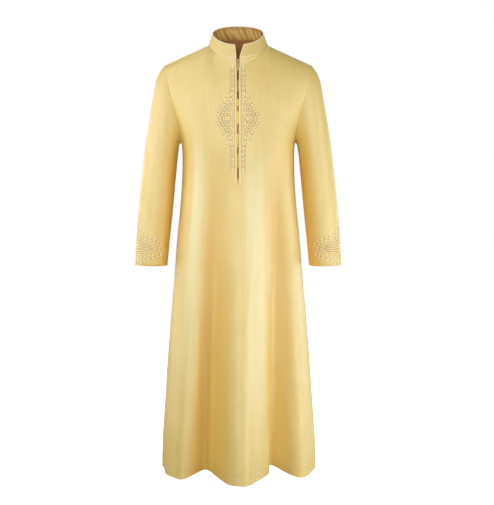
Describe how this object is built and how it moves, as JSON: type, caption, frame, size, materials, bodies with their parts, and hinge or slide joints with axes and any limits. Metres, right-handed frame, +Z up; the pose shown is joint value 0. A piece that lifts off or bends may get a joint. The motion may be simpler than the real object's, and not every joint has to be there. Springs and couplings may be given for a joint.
{
  "type": "thobe robe",
  "caption": "Ankle-length pale gold thobe robe with a stand collar, front zip and long sleeves, hollow and filled out as worn.",
  "frame": {"origin": "middle of the neck, level with the neck ends of the shoulder seams, where the wearer's neck and shoulders carry the robe", "axes": "+Z up, +X the wearer's left, the robe faces -Y"},
  "size_m": [0.644, 0.3874, 1.3978],
  "materials": {
    "satin": "pale gold satin-faced weave with soft sheen",
    "satin_edge": "folded satin edge, pressed",
    "zip_tape": "tan twill tape",
    "zip_metal": "gold plated, polished"
  },
  "bodies": {
    "robe": {"front_panel": "satin", "back_panel": "satin", "sleeve_left": "satin", "sleeve_right": "satin", "collar": "satin", "welt_left": "satin_edge", "welt_right": "satin_edge", "zip_tape_left": "zip_tape", "zip_tape_right": "zip_tape", "zip_chain": "zip_metal", "zip_slider": "zip_metal"},
    "pull_tab": {"pull_tab": "zip_metal"}
  },
  "joints": [
    {"name": "pull_swing", "type": "hinge", "parent": "robe", "child": "pull_tab", "pos_m": [0, -0.09754, -0.05092], "axis": [-1, 0, 0], "range_deg": [0, 170]}
  ]
}
